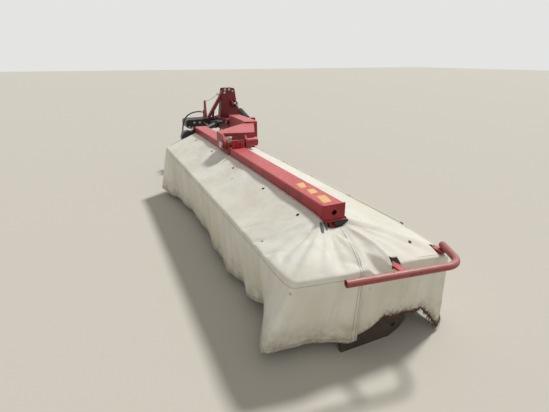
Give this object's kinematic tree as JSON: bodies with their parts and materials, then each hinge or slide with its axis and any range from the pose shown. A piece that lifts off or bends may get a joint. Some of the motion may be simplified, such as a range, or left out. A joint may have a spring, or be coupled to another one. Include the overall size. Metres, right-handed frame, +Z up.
{
  "type": "disc mower",
  "caption": "Rear-mounted disc mower: canvas-covered cutter bar hung at its middle from a box beam, with a folding arm, tractor hitch, lift cylinder, drive shaft guard and parking stand.",
  "frame": {"origin": "centre of the object's footprint, on the floor", "axes": "+X from the hitch to the mower's outer end, +Y the driving direction, +Z up"},
  "size_m": [5.1956, 1.532, 1.205],
  "materials": {
    "red_paint": "faded satin paint with rust",
    "dark_red_paint": "satin paint with rust",
    "black_paint": "satin",
    "bare_steel": "worn",
    "chrome_rod": "polished",
    "rusty_iron": "rusty",
    "black_plastic": "matte",
    "hose_rubber": "matte",
    "rope": "braided",
    "canvas": "coated canvas, weathered"
  },
  "bodies": {
    "root": {"hitch_frame": "dark_red_paint", "mast": "dark_red_paint", "mast_brace": "dark_red_paint", "lower_link_pins": "bare_steel", "top_link_pin": "bare_steel", "pivot_pins": "bare_steel", "input_gearbox": "black_paint", "pto_guard": "black_plastic", "latch_lever": "red_paint", "hydraulic_hose": "hose_rubber", "latch_rope": "rope"},
    "arm": {"arm": "red_paint", "yoke_pin": "bare_steel", "drive_guard": "black_plastic"},
    "unit": {"main_beam": "red_paint", "yoke_saddle": "rusty_iron", "saddle_hook": "red_paint", "beam_end_plate": "red_paint", "inner_hanger": "black_paint", "gear_case": "black_paint", "case_guard": "black_plastic", "outer_hanger": "dark_red_paint", "cutter_bar": "rusty_iron", "skid_shoes": "rusty_iron", "outer_shoe": "dark_red_paint", "cover_arms": "dark_red_paint", "front_rail": "dark_red_paint", "rear_rail": "dark_red_paint", "guard_tube": "red_paint", "guard_brackets": "red_paint", "canvas_front_top": "canvas", "canvas_front_outer": "canvas", "canvas_front_inner": "canvas", "canvas_rear_top": "canvas", "canvas_rear_side": "canvas", "canvas_rear_outer": "canvas", "canvas_rear_inner": "canvas"},
    "stand": {"stand_leg": "dark_red_paint"},
    "pto": {"pto_stub": "bare_steel"},
    "lift_barrel": {"lift_barrel": "black_paint"},
    "lift_rod": {"lift_rod": "chrome_rod"},
    "front_flap": {"front_flap": "canvas"},
    "disc_1": {"disc_1": "dark_red_paint"},
    "disc_2": {"disc_2": "dark_red_paint"},
    "disc_3": {"disc_3": "dark_red_paint"},
    "disc_4": {"disc_4": "dark_red_paint"},
    "disc_5": {"disc_5": "dark_red_paint"},
    "disc_6": {"disc_6": "dark_red_paint"},
    "disc_7": {"disc_7": "dark_red_paint"},
    "disc_8": {"disc_8": "dark_red_paint"}
  },
  "joints": [
    {"name": "arm_fold", "type": "hinge", "parent": "root", "child": "arm", "pos_m": [-1.49475, 0.399, 0.78], "axis": [0, -1, 0], "range_deg": [-8, 92]},
    {"name": "unit_pivot", "type": "hinge", "parent": "arm", "child": "unit", "pos_m": [0.25525, -0.1975, 0.85], "axis": [0, -1, 0], "range_deg": [-4, 10]},
    {"name": "lift_barrel_pivot", "type": "hinge", "parent": "arm", "child": "lift_barrel", "pos_m": [-1.34803, 0.5805, 0.81119], "axis": [0, -1, 0], "range_deg": [-83.6, 7.4]},
    {"name": "lift_rod_slide", "type": "slide", "parent": "lift_barrel", "child": "lift_rod", "axis": [0.9643, 0, -0.2647], "range_m": [-0.018, 0.203]},
    {"name": "flap_hinge", "type": "hinge", "parent": "unit", "child": "front_flap", "pos_m": [0.49325, 0.3758, 0.584], "axis": [1, 0, 0], "range_deg": [0, 100]},
    {"name": "stand_slide", "type": "slide", "parent": "root", "child": "stand", "axis": [0, 0, 1], "range_m": [0, 0.28]},
    {"name": "pto_spin", "type": "hinge", "parent": "root", "child": "pto", "pos_m": [-2.26975, 0.3095, 0.69], "axis": [0, 1, 0], "continuous": true},
    {"name": "disc_1_spin", "type": "hinge", "parent": "unit", "child": "disc_1", "pos_m": [-0.70975, -0.0515, 0.09], "axis": [0, 0, 1], "continuous": true},
    {"name": "disc_2_spin", "type": "hinge", "parent": "unit", "child": "disc_2", "pos_m": [-0.31475, -0.0515, 0.09], "axis": [0, 0, 1], "continuous": true},
    {"name": "disc_3_spin", "type": "hinge", "parent": "unit", "child": "disc_3", "pos_m": [0.08025, -0.0515, 0.09], "axis": [0, 0, 1], "continuous": true},
    {"name": "disc_4_spin", "type": "hinge", "parent": "unit", "child": "disc_4", "pos_m": [0.47525, -0.0515, 0.09], "axis": [0, 0, 1], "continuous": true},
    {"name": "disc_5_spin", "type": "hinge", "parent": "unit", "child": "disc_5", "pos_m": [0.87025, -0.0515, 0.09], "axis": [0, 0, 1], "continuous": true},
    {"name": "disc_6_spin", "type": "hinge", "parent": "unit", "child": "disc_6", "pos_m": [1.26525, -0.0515, 0.09], "axis": [0, 0, 1], "continuous": true},
    {"name": "disc_7_spin", "type": "hinge", "parent": "unit", "child": "disc_7", "pos_m": [1.66025, -0.0515, 0.09], "axis": [0, 0, 1], "continuous": true},
    {"name": "disc_8_spin", "type": "hinge", "parent": "unit", "child": "disc_8", "pos_m": [2.05525, -0.0515, 0.09], "axis": [0, 0, 1], "continuous": true}
  ],
  "couplings": [
    {"joint": "lift_barrel_pivot", "follows": "arm_fold", "ratio": -0.9072},
    {"joint": "lift_rod_slide", "follows": "arm_fold", "m_per_rad": 0.1259},
    {"joint": "pto_spin", "follows": "disc_1_spin", "ratio": 0.18},
    {"joint": "disc_2_spin", "follows": "disc_1_spin", "ratio": -1},
    {"joint": "disc_3_spin", "follows": "disc_1_spin", "ratio": 1},
    {"joint": "disc_4_spin", "follows": "disc_1_spin", "ratio": -1},
    {"joint": "disc_5_spin", "follows": "disc_1_spin", "ratio": 1},
    {"joint": "disc_6_spin", "follows": "disc_1_spin", "ratio": -1},
    {"joint": "disc_7_spin", "follows": "disc_1_spin", "ratio": 1},
    {"joint": "disc_8_spin", "follows": "disc_1_spin", "ratio": -1}
  ]
}
